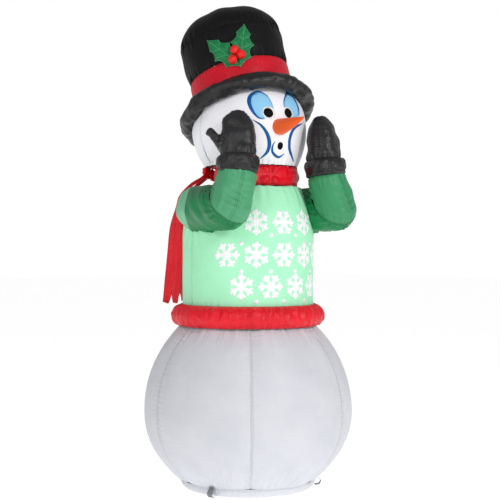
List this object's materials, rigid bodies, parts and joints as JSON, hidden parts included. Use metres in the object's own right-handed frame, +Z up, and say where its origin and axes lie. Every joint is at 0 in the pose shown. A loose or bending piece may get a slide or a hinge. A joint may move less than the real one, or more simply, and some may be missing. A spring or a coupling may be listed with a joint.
{
  "type": "inflatable yard snowman",
  "caption": "Fan-inflated fabric snowman for the yard, with sweater, scarf, holly top hat and raised mittens, kept up by a blower at the back of its base.",
  "frame": {"origin": "on the floor, at the middle of the flat round base", "axes": "+Z up; the snowman faces -Y; its left hand is on +X; the fan blows in from +Y"},
  "size_m": [1.034, 1.034, 2.3853],
  "materials": {
    "white_nylon": "coated polyester taffeta, slightly translucent",
    "base_cloth": "heavier coated cloth",
    "mint_nylon": "coated polyester taffeta with a white print",
    "green_nylon": "coated polyester taffeta",
    "red_nylon": "coated polyester taffeta",
    "black_nylon": "coated polyester taffeta",
    "charcoal_nylon": "coated polyester taffeta",
    "orange_nylon": "coated polyester taffeta",
    "leaf_nylon": "coated polyester taffeta with printed veins",
    "berry_nylon": "coated polyester taffeta",
    "webbing": "woven webbing",
    "housing_plastic": "moulded, satin",
    "impeller_plastic": "moulded, satin",
    "steel": "bright",
    "motor_steel": "satin",
    "gland_rubber": "matt",
    "zip_cloth": "woven tape",
    "zip_plastic": "nylon coil",
    "zip_metal": "enamelled",
    "lamp_plastic": "moulded, matt",
    "lamp_glass": "frosted"
  },
  "bodies": {
    "snowman": {"ball_panel_1": "white_nylon", "ball_panel_2": "white_nylon", "ball_panel_3": "white_nylon", "ball_panel_4": "white_nylon", "ball_panel_5": "white_nylon", "ball_panel_6": "white_nylon", "base_band": "white_nylon", "base_panel": "base_cloth", "blower_foot": "housing_plastic", "cable_gland": "gland_rubber", "carrot_nose": "orange_nylon", "face_panel": "white_nylon", "fan_inlet_housing": "housing_plastic", "fan_outlet_housing": "housing_plastic", "forearm_sleeve_left": "green_nylon", "forearm_sleeve_right": "green_nylon", "hat_band": "red_nylon", "hat_brim": "charcoal_nylon", "hat_crown": "black_nylon", "hat_skirt": "charcoal_nylon", "hat_top": "black_nylon", "head_back_panel": "white_nylon", "hem_ring": "red_nylon", "holly_berries": "berry_nylon", "holly_leaf_left": "leaf_nylon", "holly_leaf_right": "leaf_nylon", "housing_pins": "steel", "inlet_grille": "housing_plastic", "lamp_lenses": "lamp_glass", "lamp_sockets": "lamp_plastic", "lamp_tabs": "webbing", "mitten_cuff_left": "black_nylon", "mitten_cuff_right": "black_nylon", "mitten_left": "charcoal_nylon", "mitten_right": "charcoal_nylon", "motor": "motor_steel", "neck_band": "red_nylon", "port_boot": "white_nylon", "port_ring": "housing_plastic", "port_screws": "steel", "scarf_knot": "red_nylon", "stake_loop_1": "webbing", "stake_loop_2": "webbing", "stake_loop_3": "webbing", "stake_loop_4": "webbing", "sweater_back": "mint_nylon", "sweater_front": "mint_nylon", "tether_loop_left": "webbing", "tether_loop_right": "webbing", "upper_sleeve_left": "green_nylon", "upper_sleeve_right": "green_nylon", "zipper_coil": "zip_plastic", "zipper_stops": "zip_plastic", "zipper_tape": "zip_cloth"},
    "fan_wheel": {"impeller": "impeller_plastic", "motor_shaft": "steel"},
    "inner_tail": {"scarf_tail_inner": "red_nylon"},
    "outer_tail": {"scarf_tail_outer": "red_nylon"},
    "pull_tab": {"zipper_pull": "zip_metal"},
    "slider": {"zipper_slider": "zip_metal"}
  },
  "joints": [
    {"name": "outer_tail_swing", "type": "hinge", "parent": "snowman", "child": "outer_tail", "pos_m": [-0.18113, 0.15745, 1.536], "axis": [0.6561, 0.7547, 0], "range_deg": [0, 35]},
    {"name": "inner_tail_swing", "type": "hinge", "parent": "snowman", "child": "inner_tail", "pos_m": [-0.14259, 0.2114, 1.528], "axis": [0.829, 0.5592, 0], "range_deg": [0, 30]},
    {"name": "impeller_spin", "type": "hinge", "parent": "snowman", "child": "fan_wheel", "pos_m": [0, 0.45, 0.134], "axis": [0, 1, 0], "continuous": true},
    {"name": "zipper_slide", "type": "hinge", "parent": "snowman", "child": "slider", "pos_m": [0, 0, 0.262], "axis": [0, 0, 1], "range_deg": [0, 37.5]},
    {"name": "pull_flip", "type": "hinge", "parent": "slider", "child": "pull_tab", "pos_m": [0.16376, 0.48105, 0.25851], "axis": [-0.1005, -0.2953, -0.9501], "range_deg": [0, 175]}
  ]
}
